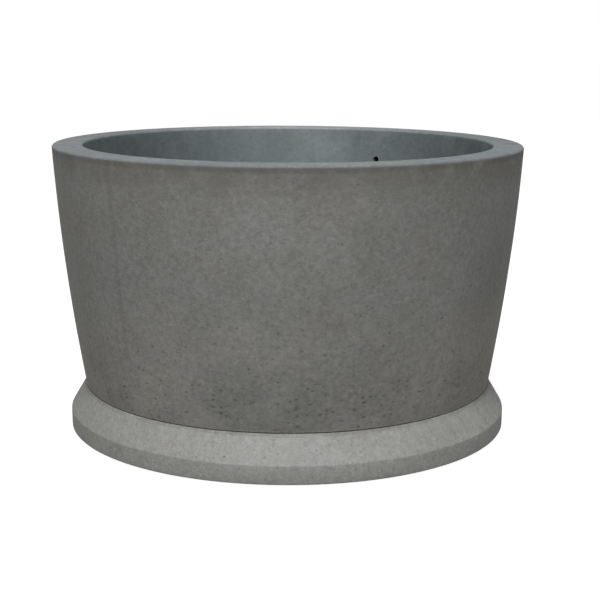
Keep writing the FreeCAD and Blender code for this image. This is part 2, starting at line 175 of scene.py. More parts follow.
def cutting_tree():
    """Cuts the solids of another object out of a shell."""
    tree, given, result = new_tree("cut piece", [("Cutters", "Object")])
    cutters = add_node(tree, "GeometryNodeObjectInfo", {"Object": given["Cutters"]}).outputs["Geometry"]
    meshes = {"Mesh 1": given["Geometry"], "Mesh 2": cutters}
    cut = add_node(tree, "GeometryNodeMeshBoolean", meshes, operation="DIFFERENCE", solver="MANIFOLD")
    tree.links.new(cut.outputs["Mesh"], result.inputs[0])
    return tree


def casting_tree():
    """Gives a shell the slow waves of a mould's face and cuts blowholes into it, more of them lower down."""
    tree, given, result = new_tree(
        "cast surface",
        [
            ("Wave Height", "Float"),
            ("Waves per Metre", "Float"),
            ("Holes per Square Metre", "Float"),
            ("Hole Spacing", "Float"),
            ("Smallest Hole", "Float"),
            ("Largest Hole", "Float"),
            ("Top Level", "Float"),
            ("Share at Top", "Float"),
            ("Seed", "Int"),
        ],
    )
    place = add_node(tree, "GeometryNodeInputPosition").outputs[0]
    normal = add_node(tree, "GeometryNodeInputNormal").outputs[0]
    facing = add_node(tree, "ShaderNodeSeparateXYZ", {0: normal}).outputs
    height = add_node(tree, "ShaderNodeSeparateXYZ", {0: place}).outputs["Z"]
    pattern = {"Vector": place, "Scale": given["Waves per Metre"], "Detail": 3.0, "Roughness": 0.45}
    waves = add_node(tree, "ShaderNodeTexNoise", pattern).outputs[0]
    upright = remap(tree, calculate(tree, "ABSOLUTE", facing["Z"]), 0.7, 0.9, 1.0, 0.0)
    swell = calculate(tree, "MULTIPLY", calculate(tree, "SUBTRACT", waves, 0.5), upright)
    lift = calculate(tree, "MULTIPLY", swell, given["Wave Height"])
    shift = add_node(tree, "ShaderNodeVectorMath", {0: normal, "Scale": lift}, operation="SCALE").outputs[0]
    wavy = add_node(tree, "GeometryNodeSetPosition", {"Geometry": given["Geometry"], "Offset": shift})
    share = remap(tree, height, 0.0, given["Top Level"], 1.0, given["Share at Top"], smooth=False)
    spread = add_node(
        tree,
        "GeometryNodeDistributePointsOnFaces",
        {
            "Mesh": wavy.outputs[0],
            "Distance Min": given["Hole Spacing"],
            "Density Max": given["Holes per Square Metre"],
            "Density Factor": share,
            "Seed": given["Seed"],
        },
        distribute_method="POISSON",
    )

    def chance(low, high, seed):
        """A random value for each hole."""
        inputs = {"Min": low, "Max": high, "Seed": count(tree, "ADD", given["Seed"], seed)}
        made = add_node(tree, "FunctionNodeRandomValue", data_type="FLOAT")
        for socket in made.inputs:
            if socket.enabled and socket.name in inputs:
                value = inputs[socket.name]
                if isinstance(value, bpy.types.NodeSocket):
                    tree.links.new(value, socket)
                else:
                    socket.default_value = value
        return next(socket for socket in made.outputs if socket.enabled)

    rarity = calculate(tree, "POWER", chance(0.0, 1.0, 1), 3.0)
    reach = calculate(tree, "SUBTRACT", given["Largest Hole"], given["Smallest Hole"])
    size = calculate(tree, "ADD", calculate(tree, "MULTIPLY", rarity, reach), given["Smallest Hole"])
    shape = add_node(
        tree,
        "ShaderNodeCombineXYZ",
        {
            "X": size,
            "Y": calculate(tree, "MULTIPLY", size, chance(0.6, 1.1, 2)),
            "Z": calculate(tree, "MULTIPLY", size, chance(0.5, 0.9, 3)),
        },
    )
    spin = add_node(tree, "ShaderNodeCombineXYZ", {"Z": chance(0.0, TURN, 4)})
    bubble = add_node(tree, "GeometryNodeMeshIcoSphere", {"Radius": 1.0, "Subdivisions": 2})
    bubbles = add_node(
        tree,
        "GeometryNodeInstanceOnPoints",
        {
            "Points": spread.outputs["Points"],
            "Instance": bubble.outputs["Mesh"],
            "Rotation": spread.outputs["Rotation"],
            "Scale": shape.outputs[0],
        },
    )
    turned = {"Instances": bubbles.outputs[0], "Rotation": spin.outputs[0]}
    spun = add_node(tree, "GeometryNodeRotateInstances", turned)
    holes = add_node(tree, "GeometryNodeRealizeInstances", {"Geometry": spun.outputs[0]})
    meshes = {"Mesh 1": wavy.outputs[0], "Mesh 2": holes.outputs[0]}
    pitted = add_node(tree, "GeometryNodeMeshBoolean", meshes, operation="DIFFERENCE", solver="MANIFOLD")
    tree.links.new(pitted.outputs["Mesh"], result.inputs[0])
    return tree


def finishing_tree():
    """Sets copies of a piece evenly round the axis, smooths faces, keeps edges crisp and sets the finish."""
    crisp_angle = 0.6
    inputs = [("Copies", "Int"), ("Circle", "Float"), ("First Angle", "Float"), ("Finish", "Material")]
    tree, given, result = new_tree("finished copies", inputs)
    index = add_node(tree, "GeometryNodeInputIndex").outputs[0]
    step = calculate(tree, "DIVIDE", TURN, given["Copies"])
    angle = calculate(tree, "ADD", calculate(tree, "MULTIPLY", index, step), given["First Angle"])
    place = on_circle(tree, given["Circle"], angle)
    places = add_node(tree, "GeometryNodePoints", {"Count": given["Copies"], "Position": place})
    turn = add_node(tree, "ShaderNodeCombineXYZ", {"Z": angle}).outputs[0]
    spread = {"Points": places.outputs[0], "Instance": given["Geometry"], "Rotation": turn}
    copies = add_node(tree, "GeometryNodeInstanceOnPoints", spread)
    plain = add_node(tree, "GeometryNodeRealizeInstances", {"Geometry": copies.outputs[0]})
    smooth = add_node(tree, "GeometryNodeSetShadeSmooth", {"Geometry": plain.outputs[0]}, domain="FACE")
    bend = add_node(tree, "GeometryNodeInputMeshEdgeAngle").outputs["Unsigned Angle"]
    crisp = add_node(tree, "FunctionNodeCompare", {0: bend, 1: crisp_angle}, operation="GREATER_THAN")
    edges = {"Geometry": smooth.outputs[0], "Selection": crisp.outputs[0], "Shade Smooth": False}
    edged = add_node(tree, "GeometryNodeSetShadeSmooth", edges, domain="EDGE")
    dress = {"Geometry": edged.outputs[0], "Material": given["Finish"]}
    dressed = add_node(tree, "GeometryNodeSetMaterial", dress)
    tree.links.new(dressed.outputs[0], result.inputs[0])
    return tree


TURNING = turning_tree()
CUTTING = cutting_tree()
CASTING = casting_tree()
FINISHING = finishing_tree()


def use_tree(piece, tree, **values):
    """Adds a tree to a piece and sets its inputs, whose names have a space for each underscore."""
    modifier = piece.modifiers.new(tree.name, "NODES")
    modifier.node_group = tree
    for name, value in values.items():
        modifier[tree.interface.items_tree[name.replace("_", " ")].identifier] = value


def new_object(name, vertices, edges=(), faces=()):
    """A new object in the scene, with a mesh of its own."""
    mesh = bpy.data.meshes.new(name)
    mesh.from_pydata(vertices, edges, faces)
    made = bpy.data.objects.new(name, mesh)
    bpy.context.scene.collection.objects.link(made)
    return made


def outline_object(name, outline):
    """An object that holds a closed outline in the half plane of the axis that holds +X."""
    vertices = [(point.x, 0.0, point.y) for point in outline]
    edges = [(index, (index + 1) % len(vertices)) for index in range(len(vertices))]
    return new_object(name, vertices, edges)


def ring(centre, axis, radius, sides=48):
    """Corners round an axis. The radius is a number, or a rule that gives it at each angle."""
    across = axis.orthogonal().normalized()
    around = axis.cross(across)
    corners = []
    for side in range(sides):
        angle = TURN * side / sides
        reach = radius(angle) if callable(radius) else radius
        corners.append(centre + (across * math.cos(angle) + around * math.sin(angle)) * reach)
    return corners


def lofted(rings):
    """Corners and faces of a closed solid through rings that have as many corners each."""
    sides = len(rings[0])
    vertices = [corner for corners in rings for corner in corners]
    faces = []
    for low in range(0, len(vertices) - sides, sides):
        for side in range(sides):
            after = (side + 1) % sides
            faces.append((low + side, low + after, low + sides + after, low + sides + side))
    faces.append(tuple(reversed(range(sides))))
    faces.append(tuple(range(len(vertices) - sides, len(vertices))))
    return vertices, faces


def drum(radius, start, end, sides=48):
    """Corners and faces of a closed cylinder between two points."""
    axis = (end - start).normalized()
    return lofted([ring(start, axis, radius, sides), ring(end, axis, radius, sides)])


def joined(name, solids):
    """One object of several closed solids."""
    vertices = []
    faces = []
    for corners, sides in solids:
        faces += [tuple(corner + len(vertices) for corner in side) for side in sides]
        vertices += corners
    return new_object(name, vertices, faces=faces)


def polar(radius, angle, height):
    """The point at a radius and an angle about the axis, at a height."""
    return Vector((radius * math.cos(angle), radius * math.sin(angle), height))


def finish_piece(piece, body, nodes, finish, cutters=None, copies=1, circle=0.0, first_angle=0.0):
    """Turns what a piece's trees make into its own mesh and ties it to the CAD nodes that it stands for."""
    use_tree(piece, FINISHING, Copies=copies, Circle=circle, First_Angle=first_angle, Finish=finish)
    bpy.context.view_layer.update()
    graph = bpy.context.evaluated_depsgraph_get()
    mesh = bpy.data.meshes.new_from_object(piece.evaluated_get(graph), depsgraph=graph)
    mesh.name = piece.name
    piece.modifiers.clear()
    piece.data = mesh
    if cutters:
        bpy.data.objects.remove(cutters)
    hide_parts(*nodes)
    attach(piece, body)


def numbered(name, copies):
    """The names of like nodes, which count from 1."""
    return [f"{name}_{index + 1}" for index in range(copies)]


def mix_colour(tree, factor, first, second, blend="MIX"):
    """The result of a Mix node for colours."""
    inputs = {0: factor, 6: first, 7: second}
    return add_node(tree, "ShaderNodeMix", inputs, data_type="RGBA", blend_type=blend).outputs[2]


def noise(tree, place, scale, detail=2.0, roughness=0.5):
    """The value of a Noise Texture node."""
    inputs = {"Vector": place, "Scale": scale, "Detail": detail, "Roughness": roughness}
    return add_node(tree, "ShaderNodeTexNoise", inputs).outputs[0]


def moved(tree, place, shift=(0, 0, 0), stretch=(1, 1, 1)):
    """A place that a Mapping node has shifted and stretched."""
    inputs = {"Vector": place, "Location": shift, "Scale": stretch}
    return add_node(tree, "ShaderNodeMapping", inputs).outputs[0]


def patches(tree, place, shift, scale, low, high, amount, stretch=(1, 1, 1)):
    """How much of a stain, or of painted shade, there is at each point, from none to an amount."""
    pattern = noise(tree, moved(tree, place, shift, stretch), scale, 5.0, 0.6)
    return remap(tree, pattern, low, high, 0.0, amount)


def new_material(name):
    """A node material: its tree, its shader and the place of each point on the piece."""
    material = bpy.data.materials.new(name)
    material.use_nodes = True
    tree = material.node_tree
    shader = tree.nodes["Principled BSDF"]
    place = add_node(tree, "ShaderNodeTexCoord").outputs["Object"]
    return material, tree, shader, place


def lumpy(tree, place):
    """Height of lumps of paste and of the sand in them."""
    lumps = noise(tree, place, 75.0, 4.0, 0.65)
    sand = noise(tree, place, 320.0, 2.0, 0.6)
    return calculate(tree, "ADD", calculate(tree, "MULTIPLY", sand, 0.45), lumps)


def mottled(tree, colour, height, depth):
    """A colour made darker in the hollows and paler on the lumps."""
    shade = remap(tree, height, 0.5, 0.95, 1.0 - depth, 1.0 + depth, smooth=False)
    grey = add_node(tree, "ShaderNodeCombineColor", {0: shade, 1: shade, 2: shade}).outputs[0]
    return mix_colour(tree, 1.0, colour, grey, "MULTIPLY")


def spotted(tree, place, colour, tone, scale, share, strength, flatness=1.0):
    """Ragged soft spots of another tone, in a share of the cells of a pattern. The strength may vary."""
    shifted = moved(tree, place, (scale * 0.37, share * 71.0, scale * 0.11), (1, 1, flatness))
    wander = add_node(tree, "ShaderNodeTexNoise", {"Vector": place, "Scale": scale * 2.5}).outputs["Color"]
    ragged = {0: wander, 1: (0.7 / scale,) * 3, 2: shifted}
    shifted = add_node(tree, "ShaderNodeVectorMath", ragged, operation="MULTIPLY_ADD").outputs[0]
    cells = add_node(tree, "ShaderNodeTexVoronoi", {"Vector": shifted, "Scale": scale}).outputs
    draw = add_node(tree, "ShaderNodeSeparateColor", {0: cells["Color"]}).outputs[0]
    chosen = remap(tree, draw, share, share * 0.5, 0.0, 1.0, smooth=False)
    spot = remap(tree, cells["Distance"], 0.1, 0.5, 1.0, 0.0)
    amount = calculate(tree, "MULTIPLY", calculate(tree, "MULTIPLY", chosen, spot), strength)
    return mix_colour(tree, amount, colour, tone)


def roughened(tree, shader, height, depth, low, high):
    """Bump and roughness from a height."""
    bump = add_node(tree, "ShaderNodeBump", {"Height": height, "Distance": depth, "Strength": 1.0})
    tree.links.new(bump.outputs[0], shader.inputs["Normal"])
    tree.links.new(remap(tree, height, 0.4, 1.0, low, high), shader.inputs["Roughness"])


def base_concrete():
    material, tree, shader, place = new_material("pale concrete")
    level = add_node(tree, "ShaderNodeSeparateXYZ", {0: place}).outputs["Z"]
    clouds = patches(tree, place, (1, 7, 7), 2.5, 0.35, 0.65, 1.0)
    colour = mix_colour(tree, clouds, (0.345, 0.344, 0.328, 1.0), (0.425, 0.425, 0.413, 1.0))
    stain = patches(tree, place, (9, 2, 5), 13.0, 0.55, 0.75, 0.4)
    colour = mix_colour(tree, stain, colour, (0.29, 0.272, 0.245, 1.0))
    low_down = remap(tree, level, BASE_BOTTOM, BASE_EDGE_TOP + 0.006, 1.0, 0.0)
    splash = calculate(tree, "MULTIPLY", low_down, remap(tree, clouds, 0.1, 0.8, 0.1, 0.55))
    colour = mix_colour(tree, splash, colour, (0.27, 0.265, 0.245, 1.0))
    # Painted contact shade, with some dirt, darkens the top of the shoulder just under the bowl's foot.
    near_bowl = remap(tree, level, BASE_TOP - 0.01, BASE_TOP - 0.002, 0.0, 1.0)
    dirt_and_contact_shade = calculate(tree, "MULTIPLY", near_bowl, patches(tree, place, (2, 9, 4), 20.0, 0.2, 0.7, 0.8))
    colour = mix_colour(tree, dirt_and_contact_shade, colour, (0.24, 0.235, 0.22, 1.0))
    height = lumpy(tree, place)
    colour = mottled(tree, colour, height, 0.15)
    colour = spotted(tree, place, colour, (0.2, 0.195, 0.18, 1.0), 100.0, 0.5, 0.4)
    colour = spotted(tree, place, colour, (0.56, 0.56, 0.535, 1.0), 110.0, 0.55, 0.4)
    tree.links.new(colour, shader.inputs["Base Color"])
    roughened(tree, shader, height, 0.0011, 0.82, 0.96)
    shader.inputs["Specular IOR Level"].default_value = 0.3
    return material


base_outline = rounded_outline(
    [
        (BASE_EDGE_RADIUS, BASE_BOTTOM, BASE_ARRIS_ROUND),
        (BASE_EDGE_RADIUS, BASE_EDGE_TOP, BASE_EDGE_ROUND),
        (BASE_SHOULDER_RADIUS, BASE_TOP, BASE_SHOULDER_ROUND),
        (BASE_OPENING_RADIUS + BASE_OPENING_CHAMFER, BASE_TOP, 0),
        (BASE_OPENING_RADIUS, BASE_TOP - BASE_OPENING_CHAMFER, 0),
        (BASE_OPENING_RADIUS, BASE_BOTTOM, BASE_ARRIS_ROUND),
    ],
    run_length=0.012,
)
base_pockets = []
for pad_angle in PAD_ANGLES:
    seat = polar(BEARING_CIRCLE, pad_angle, bearing_low.z)
    mouth = polar(BEARING_CIRCLE, pad_angle, BASE_TOP + CUT_MARGIN)
    base_pockets.append(drum(BEARING_PAD_RADIUS + PAD_CLEARANCE, seat, mouth))
    seat = polar(FOOT_PAD_CIRCLE, pad_angle, foot_high.z)
    mouth = polar(FOOT_PAD_CIRCLE, pad_angle, BASE_BOTTOM - CUT_MARGIN)
    base_pockets.append(drum(FOOT_PAD_RADIUS + PAD_CLEARANCE, mouth, seat))
for insert_angle in INSERT_ANGLES:
    bottom = polar(BEARING_CIRCLE, insert_angle, BASE_TOP - INSERT_HOLE_DEPTH)
    mouth = polar(BEARING_CIRCLE, insert_angle, BASE_TOP + CUT_MARGIN)
    base_pockets.append(drum(INSERT_HOLE_RADIUS, bottom, mouth))
base_cutters = joined("base_cutters", base_pockets)
base_casting = outline_object("base_casting", base_outline)
use_tree(base_casting, TURNING, Columns=288)
use_tree(base_casting, CUTTING, Cutters=base_cutters)
use_tree(
    base_casting,
    CASTING,
    Wave_Height=0.0014,
    Waves_per_Metre=9.0,
    Holes_per_Square_Metre=320.0,
    Hole_Spacing=0.010,
    Smallest_Hole=0.0008,
    Largest_Hole=0.0036,
    Top_Level=BASE_TOP,
    Share_at_Top=0.5,
    Seed=11,
)
finish_piece(base_casting, "base", ["base_ring"], base_concrete(), base_cutters)


# Reinforcement of the base ring: ribbed steel bars, bent into hoops and cut to length as ties. They are
# wired together and cast in, so only their finish is set here: mill scale with rust on it.
def bar_steel():
    material, tree, shader, place = new_material("rusty bar steel")
    scale = patches(tree, place, (1, 4, 2), 60.0, 0.35, 0.65, 1.0)
    colour = mix_colour(tree, scale, (0.075, 0.07, 0.068, 1.0), (0.14, 0.125, 0.115, 1.0))
    rust = patches(tree, place, (3, 1, 6), 35.0, 0.42, 0.62, 0.9)
    colour = mix_colour(tree, rust, colour, (0.21, 0.085, 0.035, 1.0))
    fresh = patches(tree, place, (7, 5, 2), 120.0, 0.55, 0.7, 0.7)
    colour = mix_colour(tree, fresh, colour, (0.33, 0.15, 0.055, 1.0))
    height = lumpy(tree, place)
    colour = mottled(tree, colour, height, 0.2)
    tree.links.new(colour, shader.inputs["Base Color"])
    tree.links.new(remap(tree, rust, 0.0, 0.9, 0.75, 0.1), shader.inputs["Metallic"])
    roughened(tree, shader, height, 0.0004, 0.5, 0.85)
    return material


BAR_STEEL = bar_steel()


def set_finish(nodes, finish):
    """Gives a finish to CAD nodes that are kept as they are."""
    for node in nodes:
        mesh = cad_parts[node].data
        mesh.materials.clear()
        mesh.materials.append(finish)


set_finish(numbered("base_hoop", 3) + numbered("base_tie_bar", 8), BAR_STEEL)


# Lifting sockets of the base ring: hexagonal steel ferrules with a round foot, tapped M16, cast in below
# holes in the ring's top. The plain steel has oil and grime on it, and its near-black colour is partly
# painted shade for the deep holes. Lifting eyes screw into them.
FERRULE_ACROSS_FLATS = 0.024
FERRULE_LENGTH = 0.046
FERRULE_FOOT_RADIUS = 0.022
FERRULE_FOOT_THICKNESS = 0.006
THREAD_ROOT_RADIUS = 0.008
THREAD_CREST_RADIUS = 0.007
THREAD_PITCH = 0.002


def hexagon(angle):
    """Radius of the ferrule's section at an angle."""
    return FERRULE_ACROSS_FLATS / 2 / math.cos((angle + TURN / 12) % (TURN / 6) - TURN / 12)


def thread(mouth, inward):
    """Corners and faces of the hollow of a threaded hole, which starts a pitch outside its mouth."""
    sides = 32
    steps = 5
    rows = round(THREAD_DEPTH / THREAD_PITCH * steps)

    def depth_at(row):
        """The rule of the thread's radius in one row."""
        depth = THREAD_ROOT_RADIUS - THREAD_CREST_RADIUS
        return lambda angle: THREAD_CREST_RADIUS + depth * abs(2 * ((row / steps + angle / TURN) % 1.0) - 1)

    places = [(mouth + inward * (THREAD_PITCH * row / steps), row) for row in range(-steps, rows + 1)]
    return lofted([ring(place, inward, depth_at(row), sides) for place, row in places])


def insert_steel():
    material, tree, shader, place = new_material("oiled steel")
    # The near-black colour of this steel is painted shade for the deep socket holes, over real oil, grime and
    # rust.
    grain = patches(tree, place, (2, 2, 7), 300.0, 0.35, 0.65, 1.0)
    colour = mix_colour(tree, grain, (0.02, 0.02, 0.021, 1.0), (0.034, 0.034, 0.035, 1.0))
    grime_and_shade = patches(tree, place, (5, 1, 1), 140.0, 0.35, 0.6, 0.85)
    colour = mix_colour(tree, grime_and_shade, colour, (0.009, 0.0085, 0.008, 1.0))
    rust = patches(tree, place, (1, 8, 3), 210.0, 0.54, 0.66, 0.7)
    colour = mix_colour(tree, rust, colour, (0.04, 0.021, 0.012, 1.0))
    tree.links.new(colour, shader.inputs["Base Color"])
    tree.links.new(remap(tree, grime_and_shade, 0.0, 0.8, 0.6, 0.05), shader.inputs["Metallic"])
    roughened(tree, shader, noise(tree, place, 500.0, 3.0, 0.6), 0.0002, 0.55, 0.8)
    return material


INSERT_STEEL = insert_steel()
down = Vector((0, 0, -1))
socket_mouth = Vector((0, 0, BASE_TOP - INSERT_RECESS_DEPTH))
socket_end = socket_mouth + down * FERRULE_LENGTH
foot_start = socket_end - down * FERRULE_FOOT_THICKNESS
base_sockets = joined(
    "base_sockets",
    [
        lofted(
            [
                ring(socket_mouth, down, hexagon),
                ring(foot_start, down, hexagon),
                ring(foot_start, down, FERRULE_FOOT_RADIUS),
                ring(socket_end, down, FERRULE_FOOT_RADIUS),
            ]
        )
    ],
)
socket_cutters = joined("socket_cutters", [thread(socket_mouth, down)])
use_tree(base_sockets, CUTTING, Cutters=socket_cutters)
finish_piece(
    base_sockets,
    "base",
    numbered("base_lifting_insert", 3),
    INSERT_STEEL,
    socket_cutters,
    copies=3,
    circle=BEARING_CIRCLE,
    first_angle=INSERT_ANGLES[0],
)


# Foot pads: four discs of black rubber, moulded with round grooves in the face that stands on the ground.
# They lie loose in the pockets under the base ring and keep it off the paving.
PAD_CENTRE_HOLE = 0.0015
PAD_CHAMFER = 0.001
GROOVE_WIDTH = 0.003
GROOVE_DEPTH = 0.0012


def pad_outline(radius, low, high, grooves_on_top):
    """Outline of a pad, with grooves in one face."""
    face, inside = (high, high - GROOVE_DEPTH) if grooves_on_top else (low, low + GROOVE_DEPTH)
    grooved = []
    for share in (0.85, 0.65, 0.45, 0.25):
        for edge, level in ((0.5, face), (0.35, inside), (-0.35, inside), (-0.5, face)):
            grooved.append((radius * share + GROOVE_WIDTH * edge, level, 0))
    plain = [
        (PAD_CENTRE_HOLE, low if grooves_on_top else high, 0),
        (radius - PAD_CHAMFER, low if grooves_on_top else high, 0),
        (radius, low + PAD_CHAMFER if grooves_on_top else high - PAD_CHAMFER, 0),
        (radius, high - PAD_CHAMFER if grooves_on_top else low + PAD_CHAMFER, 0),
        (radius - PAD_CHAMFER, face, 0),
    ]
    corners = plain + grooved + [(PAD_CENTRE_HOLE, face, 0)]
    if not grooves_on_top:
        corners.reverse()
    return rounded_outline(corners, run_length=0.01)


def pad_rubber():
    material, tree, shader, place = new_material("black rubber")
    bloom = patches(tree, place, (3, 3, 1), 45.0, 0.4, 0.68, 0.8)
    colour = mix_colour(tree, bloom, (0.018, 0.018, 0.019, 1.0), (0.045, 0.045, 0.044, 1.0))
    dust = patches(tree, place, (1, 6, 4), 90.0, 0.5, 0.72, 0.6)
    colour = mix_colour(tree, dust, colour, (0.16, 0.155, 0.14, 1.0))
    crumb = spotted(tree, place, colour, (0.07, 0.07, 0.068, 1.0), 420.0, 0.25, 0.5)
    tree.links.new(crumb, shader.inputs["Base Color"])
    roughened(tree, shader, noise(tree, place, 420.0, 3.0, 0.6), 0.0003, 0.65, 0.9)
    return material


PAD_RUBBER = pad_rubber()
foot_outline = pad_outline(FOOT_PAD_RADIUS, foot_low.z, foot_high.z, grooves_on_top=False)
foot_pads = outline_object("foot_pads", foot_outline)
use_tree(foot_pads, TURNING, Columns=64)
finish_piece(
    foot_pads,
    "base",
    numbered("foot_pad", 4),
    PAD_RUBBER,
    copies=4,
    circle=FOOT_PAD_CIRCLE,
    first_angle=PAD_ANGLES[0],
)


# Bearing pads: four smaller discs of the same rubber, grooved on top, which lie in the pockets in the top
# of the base ring. The bowl rests on them and stands a little clear of the ring.
bearing_outline = pad_outline(BEARING_PAD_RADIUS, bearing_low.z, bearing_high.z, grooves_on_top=True)
bearing_pads = outline_object("bearing_pads", bearing_outline)
use_tree(bearing_pads, TURNING, Columns=64)
finish_piece(
    bearing_pads,
    "base",
    numbered("bearing_pad", 4),
    PAD_RUBBER,
    copies=4,
    circle=BEARING_CIRCLE,
    first_angle=PAD_ANGLES[0],
)


# Bowl: the main casting, a tapered open bowl of grey concrete with a swelling wall and a flat rim. It is
# cast upside down over a core in a mould of two halves, so its outside shows sand, two seams, and pits
# towards the foot. Its inside and rim are smoother and sealed, and their cooler blue tint is painted sky
# reflection. A boss under it centres it.
bowl_low, bowl_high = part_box("bowl")
sleeve_low, sleeve_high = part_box("drain_sleeve")
RIM_LEVEL = bowl_high.z
RIM_RADIUS = 0.610
RIM_WALL = 0.078
RIM_ROUND = 0.006
FOOT_RADIUS = 0.538
FOOT_LEVEL = bearing_high.z
FOOT_ROUND = 0.003
WALL_BULGE = 0.009
FLOOR_LEVEL = FOOT_LEVEL + 0.080
FLOOR_EDGE_RADIUS = 0.46324
COVE_RADIUS = 0.040
DRAIN_LEVEL = sleeve_high.z
FLANGE_RADIUS = 0.052
FLANGE_THICKNESS = 0.010
SLEEVE_RADIUS = 0.030
SPIGOT_RADIUS = 0.270
SPIGOT_CHAMFER = 0.006
SPIGOT_LEVEL = bowl_low.z
CAST_GAP = 0.00005
INSERT_DROP = 0.088
SEAM_ANGLE = math.radians(227.4)
RIM_INNER_RADIUS = RIM_RADIUS - RIM_WALL
INNER_SLOPE = (RIM_INNER_RADIUS - FLOOR_EDGE_RADIUS) / (RIM_LEVEL - FLOOR_LEVEL)
INSERT_LEVEL = RIM_LEVEL - INSERT_DROP
INSERT_MOUTH_RADIUS = RIM_INNER_RADIUS - INSERT_DROP * INNER_SLOPE


